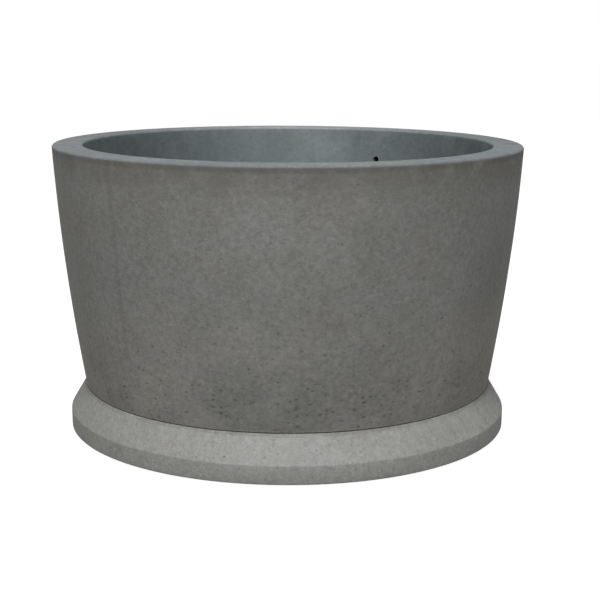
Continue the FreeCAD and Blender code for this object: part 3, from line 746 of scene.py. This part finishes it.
def bowl_concrete():
    material, tree, shader, place = new_material("grey concrete")
    height = add_node(tree, "ShaderNodeSeparateXYZ", {0: place}).outputs["Z"]
    level = add_node(tree, "ShaderNodeVectorMath", {0: place, 1: (1, 1, 0)}, operation="MULTIPLY").outputs[0]
    radius = add_node(tree, "ShaderNodeVectorMath", {0: level}, operation="LENGTH").outputs["Value"]
    # Outside: grey with faint greenish and brownish clouds, and dust at the foot.
    clouds = patches(tree, place, (6, 1, 9), 4.0, 0.35, 0.65, 1.0)
    colour = mix_colour(tree, clouds, (0.25, 0.25, 0.238, 1.0), (0.284, 0.283, 0.272, 1.0))
    green = patches(tree, place, (2, 5, 1), 9.0, 0.45, 0.7, 0.6)
    colour = mix_colour(tree, green, colour, (0.236, 0.245, 0.22, 1.0))
    brown = patches(tree, place, (6, 1, 3), 7.0, 0.48, 0.72, 0.5)
    colour = mix_colour(tree, brown, colour, (0.242, 0.226, 0.204, 1.0))
    foot = remap(tree, height, FOOT_LEVEL + 0.06, FOOT_LEVEL + 0.32, 1.0, 0.0)
    dust = calculate(tree, "MULTIPLY", foot, patches(tree, place, (8, 1, 8), 2.5, 0.3, 0.6, 0.7))
    colour = mix_colour(tree, dust, colour, (0.36, 0.338, 0.302, 1.0))
    # Mould seams: two faint upright lines opposite each other, where the fins were ground off.
    seam_side = (-math.sin(SEAM_ANGLE), math.cos(SEAM_ANGLE), 0.0)
    off_seam = add_node(tree, "ShaderNodeVectorMath", {0: place, 1: seam_side}, operation="DOT_PRODUCT")
    near_seam = remap(tree, calculate(tree, "ABSOLUTE", off_seam.outputs["Value"]), 0.001, 0.014, 1.0, 0.0)
    ground = patches(tree, place, (5, 5, 9), 16.0, 0.2, 0.65, 0.36)
    above_foot = remap(tree, height, FOOT_LEVEL + 0.04, FOOT_LEVEL + 0.2, 0.0, 1.0)
    seam = calculate(tree, "MULTIPLY", calculate(tree, "MULTIPLY", near_seam, ground), above_foot)
    colour = mix_colour(tree, seam, colour, (0.15, 0.149, 0.14, 1.0))
    # Grains of sand, dark and pale, and soft dark pits that cluster above the foot.
    lumps = lumpy(tree, place)
    colour = mottled(tree, colour, lumps, 0.2)
    colour = spotted(tree, place, colour, (0.14, 0.138, 0.128, 1.0), 95.0, 0.2, 0.4)
    colour = spotted(tree, place, colour, (0.4, 0.398, 0.38, 1.0), 105.0, 0.2, 0.35)
    sparse = remap(tree, height, FOOT_LEVEL + 0.1, FOOT_LEVEL + 0.5, 0.75, 0.15)
    colour = spotted(tree, place, colour, (0.09, 0.088, 0.08, 1.0), 75.0, 0.09, sparse, 1.6)
    low_down = remap(tree, height, FOOT_LEVEL + 0.06, FOOT_LEVEL + 0.2, 1.0, 0.0)
    crowded = calculate(tree, "MULTIPLY", low_down, patches(tree, place, (5, 0, 8), 11.0, 0.42, 0.6, 0.75))
    colour = mix_colour(tree, calculate(tree, "MULTIPLY", crowded, 0.2), colour, (0.1, 0.1, 0.094, 1.0))
    colour = spotted(tree, place, colour, (0.09, 0.088, 0.08, 1.0), 58.0, 0.65, crowded, 1.6)
    # A pale band of painted light at the foot, which lifts the shade on its downward-facing round; smudges
    # under the rim; and a dark line of dirt and painted shade just under the rim's edge.
    painted_light_at_foot = remap(tree, height, FOOT_LEVEL + 0.001, FOOT_LEVEL + 0.009, 0.4, 0.0)
    colour = mix_colour(tree, painted_light_at_foot, colour, (0.42, 0.41, 0.385, 1.0))
    under_rim = remap(tree, height, RIM_LEVEL - 0.1, RIM_LEVEL - 0.01, 0.0, 1.0)
    smudge = calculate(tree, "MULTIPLY", under_rim, patches(tree, place, (7, 3, 1), 24.0, 0.1, 0.7, 0.75))
    colour = mix_colour(tree, smudge, colour, (0.16, 0.154, 0.136, 1.0))
    # A dark line just under the rim's edge: dirt, and painted shade under the rounded arris.
    under_arris_shade = remap(tree, height, RIM_LEVEL - 0.022, RIM_LEVEL - 0.01, 0.0, 1.0)
    grime_and_shade = calculate(tree, "MULTIPLY", under_arris_shade, patches(tree, place, (3, 8, 2), 14.0, 0.2, 0.6, 0.5))
    colour = mix_colour(tree, grime_and_shade, colour, (0.1, 0.096, 0.084, 1.0))
    # The wall's middle line parts the warm outside from the inside, whose cool blue tint is painted sky
    # reflection.
    below_rim = calculate(tree, "SUBTRACT", RIM_LEVEL, height)
    middle = calculate(tree, "MULTIPLY", below_rim, -INNER_SLOPE)
    middle = calculate(tree, "ADD", middle, RIM_INNER_RADIUS + RIM_WALL * 0.5)
    inside = remap(tree, calculate(tree, "SUBTRACT", middle, radius), 0.0, 0.02, 0.0, 1.0)
    on_rim = remap(tree, height, RIM_LEVEL - 0.008, RIM_LEVEL - 0.001, 0.0, 1.0)
    sky_tinted_inside = mix_colour(tree, clouds, (0.123, 0.146, 0.15, 1.0), (0.147, 0.172, 0.173, 1.0))
    streaks = patches(tree, place, (8, 2, 6), 22.0, 0.45, 0.72, 0.45, (1, 1, 0.12))
    sky_tinted_inside = mix_colour(tree, streaks, sky_tinted_inside, (0.1, 0.118, 0.122, 1.0))
    lime = patches(tree, place, (4, 7, 1), 8.0, 0.52, 0.75, 0.45)
    sky_tinted_inside = mix_colour(tree, lime, sky_tinted_inside, (0.22, 0.24, 0.235, 1.0))
    planted = remap(tree, height, FLOOR_LEVEL + 0.1, RIM_LEVEL - 0.15, 1.0, 0.0)
    soil = calculate(tree, "MULTIPLY", planted, patches(tree, place, (1, 3, 7), 6.0, 0.38, 0.66, 0.6))
    sky_tinted_inside = mix_colour(tree, soil, sky_tinted_inside, (0.1, 0.096, 0.082, 1.0))
    sky_tinted_inside = spotted(tree, place, sky_tinted_inside, (0.06, 0.066, 0.066, 1.0), 95.0, 0.08, 0.4)
    colour = mix_colour(tree, inside, colour, mottled(tree, sky_tinted_inside, lumps, 0.12))
    # The rim's blue-grey tint is painted sky reflection as well.
    rim = mix_colour(tree, clouds, (0.19, 0.214, 0.225, 1.0), (0.22, 0.241, 0.247, 1.0))
    worn = patches(tree, place, (3, 2, 8), 18.0, 0.48, 0.7, 0.5)
    rim = mix_colour(tree, worn, rim, (0.29, 0.3, 0.3, 1.0))
    rim = spotted(tree, place, mottled(tree, rim, lumps, 0.2), (0.1, 0.115, 0.12, 1.0), 95.0, 0.12, 0.5)
    colour = mix_colour(tree, on_rim, colour, rim)
    tree.links.new(colour, shader.inputs["Base Color"])
    roughened(tree, shader, lumps, 0.0012, 0.82, 0.96)
    shader.inputs["Specular IOR Level"].default_value = 0.3
    return material


def outer_wall(steps):
    """Points of the outside of the wall between its foot and its rim, on a slight arc."""
    points = []
    for step in range(1, steps):
        share = step / steps
        radius = FOOT_RADIUS + (RIM_RADIUS - FOOT_RADIUS) * share + 4 * WALL_BULGE * share * (1 - share)
        points.append((radius, FOOT_LEVEL + (RIM_LEVEL - FOOT_LEVEL) * share, 0))
    return points


recess_radius = FLANGE_RADIUS + CAST_GAP
hole_radius = SLEEVE_RADIUS + CAST_GAP
bowl_outline = rounded_outline(
    [
        (FOOT_RADIUS, FOOT_LEVEL, FOOT_ROUND),
        *outer_wall(40),
        (RIM_RADIUS, RIM_LEVEL, RIM_ROUND),
        (RIM_INNER_RADIUS, RIM_LEVEL, RIM_ROUND),
        (FLOOR_EDGE_RADIUS, FLOOR_LEVEL, COVE_RADIUS),
        (recess_radius, DRAIN_LEVEL, 0),
        (recess_radius, DRAIN_LEVEL - FLANGE_THICKNESS, 0),
        (hole_radius, DRAIN_LEVEL - FLANGE_THICKNESS, 0),
        (hole_radius, SPIGOT_LEVEL, 0),
        (SPIGOT_RADIUS - SPIGOT_CHAMFER, SPIGOT_LEVEL, 0),
        (SPIGOT_RADIUS, SPIGOT_LEVEL + SPIGOT_CHAMFER, 0),
        (SPIGOT_RADIUS, FOOT_LEVEL, 0),
    ],
    run_length=0.018,
)
lean = math.atan(INNER_SLOPE)
insert_holes = []
for insert_angle in INSERT_ANGLES:
    mouth = polar(INSERT_MOUTH_RADIUS, insert_angle, INSERT_LEVEL)
    into_wall = polar(math.cos(lean), insert_angle, -math.sin(lean))
    start = mouth - into_wall * CUT_MARGIN
    insert_holes.append(drum(INSERT_HOLE_RADIUS, start, mouth + into_wall * INSERT_HOLE_DEPTH))
bowl_cutters = joined("bowl_cutters", insert_holes)
bowl_casting = outline_object("bowl_casting", bowl_outline)
use_tree(bowl_casting, TURNING, Columns=288)
use_tree(bowl_casting, CUTTING, Cutters=bowl_cutters)
use_tree(
    bowl_casting,
    CASTING,
    Wave_Height=0.0016,
    Waves_per_Metre=6.0,
    Holes_per_Square_Metre=420.0,
    Hole_Spacing=0.012,
    Smallest_Hole=0.001,
    Largest_Hole=0.0038,
    Top_Level=FOOT_LEVEL + 0.36,
    Share_at_Top=0.06,
    Seed=8,
)
finish_piece(bowl_casting, "bowl", ["bowl"], bowl_concrete(), bowl_cutters)


# Reinforcement of the bowl: upright bars bent out of the floor into the wall, hoops wired round them, and
# the bars that anchor the lifting sockets. It is the same cast-in steel as in the base ring.
set_finish(numbered("wall_bar", 12) + numbered("wall_hoop", 5), BAR_STEEL)
set_finish(numbered("floor_hoop", 2) + numbered("insert_anchor_bar", 3), BAR_STEEL)


# Lifting sockets of the bowl: three hexagonal steel ferrules behind holes in the inner wall, square to its
# slope. Their tails are drilled for anchor bars, and lifting eyes screw into them from inside.
ANCHOR_SETBACK = 0.008
ANCHOR_HOLE_RADIUS = 0.0054
into_wall = polar(math.cos(lean), 0.0, -math.sin(lean))
socket_mouth = polar(INSERT_MOUTH_RADIUS, 0.0, INSERT_LEVEL) + into_wall * INSERT_RECESS_DEPTH
socket_end = socket_mouth + into_wall * FERRULE_LENGTH
anchor = socket_end - into_wall * ANCHOR_SETBACK
sideways = Vector((0, FERRULE_ACROSS_FLATS, 0))
body = lofted([ring(socket_mouth, into_wall, hexagon), ring(socket_end, into_wall, hexagon)])
lifting_sockets = joined("lifting_sockets", [body])
anchor_hole = drum(ANCHOR_HOLE_RADIUS, anchor - sideways, anchor + sideways, 32)
socket_cutters = joined("socket_cutters", [thread(socket_mouth, into_wall), anchor_hole])
use_tree(lifting_sockets, CUTTING, Cutters=socket_cutters)
finish_piece(
    lifting_sockets,
    "bowl",
    numbered("lifting_insert", 3),
    INSERT_STEEL,
    socket_cutters,
    copies=3,
    first_angle=INSERT_ANGLES[0],
)


# Drain sleeve: a grey plastic pipe with a flange, moulded in one piece and cast into the floor's middle.
# Its flange lies flush in the floor, and its tail shows below the bowl.
BORE_RADIUS = 0.026
SEAT_RADIUS = 0.042
SEAT_LEVEL = DRAIN_LEVEL - 0.004
PLASTIC_ROUND = 0.0008


def sleeve_plastic():
    material, tree, shader, place = new_material("grey plastic")
    clouds = patches(tree, place, (1, 1, 1), 30.0, 0.38, 0.64, 1.0)
    colour = mix_colour(tree, clouds, (0.27, 0.28, 0.29, 1.0), (0.33, 0.34, 0.35, 1.0))
    silt = patches(tree, place, (4, 2, 8), 70.0, 0.46, 0.7, 0.7)
    colour = mix_colour(tree, silt, colour, (0.2, 0.18, 0.15, 1.0))
    colour = spotted(tree, place, colour, (0.12, 0.11, 0.1, 1.0), 260.0, 0.08, 0.5)
    tree.links.new(colour, shader.inputs["Base Color"])
    roughened(tree, shader, noise(tree, place, 160.0, 3.0, 0.55), 0.0003, 0.4, 0.62)
    return material


sleeve_outline = rounded_outline(
    [
        (BORE_RADIUS, sleeve_low.z, PLASTIC_ROUND),
        (SLEEVE_RADIUS, sleeve_low.z, PLASTIC_ROUND),
        (SLEEVE_RADIUS, DRAIN_LEVEL - FLANGE_THICKNESS, 0),
        (FLANGE_RADIUS, DRAIN_LEVEL - FLANGE_THICKNESS, 0),
        (FLANGE_RADIUS, DRAIN_LEVEL, PLASTIC_ROUND),
        (SEAT_RADIUS, DRAIN_LEVEL, PLASTIC_ROUND),
        (SEAT_RADIUS, SEAT_LEVEL, 0),
        (BORE_RADIUS, SEAT_LEVEL, PLASTIC_ROUND),
    ],
    run_length=0.01,
)
drain_pipe = outline_object("drain_pipe", sleeve_outline)
use_tree(drain_pipe, TURNING, Columns=96)
finish_piece(drain_pipe, "bowl", ["drain_sleeve"], sleeve_plastic())


# Drain strainer: a loose domed grating of black plastic with radial slots, moulded in one piece. It drops
# into the step in the sleeve's flange, keeps soil out of the drain and lifts out to be cleaned.
strainer_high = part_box("drain_strainer")[1]
STRAINER_RADIUS = 0.0415
DOME_RADIUS = 0.032
DOME_SHELL = 0.0035
CROWN_RADIUS = 0.010
GATE_RADIUS = 0.0006
SLOT_COUNT = 12
SLOT_WIDTH = 0.005
SLOT_MARGIN = 0.002
CROWN_LEVEL = strainer_high.z


def strainer_plastic():
    material, tree, shader, place = new_material("black plastic")
    scuffs = patches(tree, place, (2, 1, 5), 120.0, 0.45, 0.7, 0.8)
    colour = mix_colour(tree, scuffs, (0.022, 0.022, 0.024, 1.0), (0.06, 0.06, 0.06, 1.0))
    soil = patches(tree, place, (6, 3, 2), 85.0, 0.5, 0.7, 0.7)
    colour = mix_colour(tree, soil, colour, (0.11, 0.085, 0.06, 1.0))
    colour = spotted(tree, place, colour, (0.16, 0.14, 0.11, 1.0), 330.0, 0.06, 0.5)
    tree.links.new(colour, shader.inputs["Base Color"])
    roughened(tree, shader, noise(tree, place, 200.0, 3.0, 0.6), 0.0003, 0.35, 0.6)
    return material


dome_rise = CROWN_LEVEL - DRAIN_LEVEL
ball_level = DRAIN_LEVEL + (dome_rise**2 - DOME_RADIUS**2 + CROWN_RADIUS**2) / (2 * dome_rise)
ball_radius = math.hypot(DOME_RADIUS, DRAIN_LEVEL - ball_level)


def dome_points(radius, low, high):
    """Corners on a ball about the dome's centre, from one level up to another."""
    steps = 10
    levels = [low + (high - low) * step / steps for step in range(steps + 1)]
    return [(math.sqrt(radius**2 - (level - ball_level) ** 2), level, 0) for level in levels]


ceiling = CROWN_LEVEL - DOME_SHELL
strainer_outline = rounded_outline(
    [
        (STRAINER_RADIUS, SEAT_LEVEL, PLASTIC_ROUND),
        (STRAINER_RADIUS, DRAIN_LEVEL, PLASTIC_ROUND),
        *dome_points(ball_radius, DRAIN_LEVEL, CROWN_LEVEL),
        (GATE_RADIUS, CROWN_LEVEL, 0),
        (GATE_RADIUS, ceiling, 0),
        *reversed(dome_points(ball_radius - DOME_SHELL, SEAT_LEVEL, ceiling)),
    ],
    run_length=0.006,
)
slot_start = CROWN_RADIUS + SLOT_MARGIN
slot_low = Vector((0, 0, DRAIN_LEVEL + SLOT_MARGIN))
slot_high = Vector((0, 0, CROWN_LEVEL + SLOT_MARGIN))
slots = []
for index in range(SLOT_COUNT):
    direction = polar(1.0, TURN * index / SLOT_COUNT, 0.0)
    aside = polar(SLOT_WIDTH / 2, TURN * (index / SLOT_COUNT + 0.25), 0.0)
    near = direction * slot_start
    far = direction * (slot_start + DOME_RADIUS)
    corners = [near - aside, far - aside, far + aside, near + aside]
    slots.append(lofted([[level + corner for corner in corners] for level in (slot_low, slot_high)]))
slot_cutters = joined("slot_cutters", slots)
strainer = outline_object("strainer", strainer_outline)
use_tree(strainer, TURNING, Columns=144)
use_tree(strainer, CUTTING, Cutters=slot_cutters)
finish_piece(strainer, "strainer", ["drain_strainer"], strainer_plastic(), slot_cutters)


# Stage: a plain pale floor and a white surround that gives weak light from all round. A large soft lamp
# hangs high up ahead of the planter and a little to its left, and a narrow one lights the middle of the
# far inner wall.
STAGE_HALF = 30.0
STAGE_GREY = (0.45, 0.45, 0.45, 1.0)
STAGE_GLOW = 0.92
SURROUND_LIGHT = 0.18
WHITE = (1.0, 1.0, 1.0, 1.0)
corners = [(-1, -1), (1, -1), (1, 1), (-1, 1)]
floor = new_object("floor", [(x * STAGE_HALF, y * STAGE_HALF, 0) for x, y in corners], faces=[(0, 1, 2, 3)])


def seen_white(tree):
    """1 for what the camera sees, straight or in a shine or through glass, and 0 for light that falls."""
    path = add_node(tree, "ShaderNodeLightPath").outputs
    seen = calculate(tree, "MAXIMUM", path["Is Camera Ray"], path["Is Glossy Ray"])
    return calculate(tree, "MAXIMUM", seen, path["Is Transmission Ray"])


floor_material = bpy.data.materials.new("pale floor")
floor_material.use_nodes = True
floor_tree = floor_material.node_tree
floor_tree.nodes.clear()
glow = calculate(floor_tree, "MULTIPLY", seen_white(floor_tree), STAGE_GLOW)
matt = add_node(floor_tree, "ShaderNodeBsdfDiffuse", {"Color": STAGE_GREY}).outputs[0]
white = add_node(floor_tree, "ShaderNodeEmission", {"Color": WHITE, "Strength": glow}).outputs[0]
both = add_node(floor_tree, "ShaderNodeAddShader", {0: matt, 1: white}).outputs[0]
add_node(floor_tree, "ShaderNodeOutputMaterial", {"Surface": both})
floor.data.materials.append(floor_material)

world = bpy.data.worlds.new("studio")
world.use_nodes = True
bpy.context.scene.world = world
sky = world.node_tree
sky.nodes.clear()
strength = remap(sky, seen_white(sky), 0.0, 1.0, SURROUND_LIGHT, 1.0, smooth=False)
surround = add_node(sky, "ShaderNodeBackground", {"Color": WHITE, "Strength": strength}).outputs[0]
add_node(sky, "ShaderNodeOutputWorld", {"Surface": surround})

KEY_PLACE = Vector((-0.3, -3.5, 5.8))
KEY_TARGET = Vector((0, 0, 0.4))
KEY_SIZE = 2.2
KEY_POWER = 300.0
SPOT_PLACE = Vector((0.1, -2.5, 3.7))
SPOT_TARGET = Vector((0.03, RIM_INNER_RADIUS, RIM_LEVEL - 0.03))
SPOT_ANGLE = 0.17
SPOT_POWER = 640.0
SPOT_SIZE = 0.25
key_data = bpy.data.lights.new("key", "AREA")
key_data.shape = "DISK"
key_data.size = KEY_SIZE
key_data.energy = KEY_POWER
spot_data = bpy.data.lights.new("spot", "SPOT")
spot_data.spot_size = SPOT_ANGLE
spot_data.spot_blend = 1.0
spot_data.shadow_soft_size = SPOT_SIZE
spot_data.energy = SPOT_POWER
for data, place, target in ((key_data, KEY_PLACE, KEY_TARGET), (spot_data, SPOT_PLACE, SPOT_TARGET)):
    lamp = bpy.data.objects.new(data.name, data)
    lamp.location = place
    lamp.rotation_euler = (target - place).to_track_quat("-Z", "Y").to_euler()
    bpy.context.scene.collection.objects.link(lamp)


# Camera: it stands ahead of the planter, a little above its rim, and is tilted down and rolled slightly.
# Its lens is a moderate telephoto.
CAMERA_DISTANCE = 3.4266
CAMERA_HEIGHT = 1.0296
CAMERA_DOWN = 0.2044
CAMERA_ASIDE = 0.0096
CAMERA_ROLL = 0.005
CAMERA_LENS = 78.17
CAMERA_SENSOR = 36.0
camera_data = bpy.data.cameras.new("camera")
camera_data.lens = CAMERA_LENS
camera_data.sensor_width = CAMERA_SENSOR
camera = bpy.data.objects.new("camera", camera_data)
ahead = polar(math.cos(CAMERA_DOWN), math.pi / 2 - CAMERA_ASIDE, -math.sin(CAMERA_DOWN))
right = Vector((math.cos(CAMERA_ASIDE), -math.sin(CAMERA_ASIDE), 0.0))
up = right.cross(ahead)
rolled_right = right * math.cos(CAMERA_ROLL) + up * math.sin(CAMERA_ROLL)
rolled_up = up * math.cos(CAMERA_ROLL) - right * math.sin(CAMERA_ROLL)
turn = Matrix((rolled_right, rolled_up, -ahead)).transposed()
camera.matrix_world = Matrix.Translation((0, -CAMERA_DISTANCE, CAMERA_HEIGHT)) @ turn.to_4x4()
bpy.context.scene.collection.objects.link(camera)
bpy.context.scene.camera = camera
bpy.context.scene.view_settings.view_transform = "Standard"
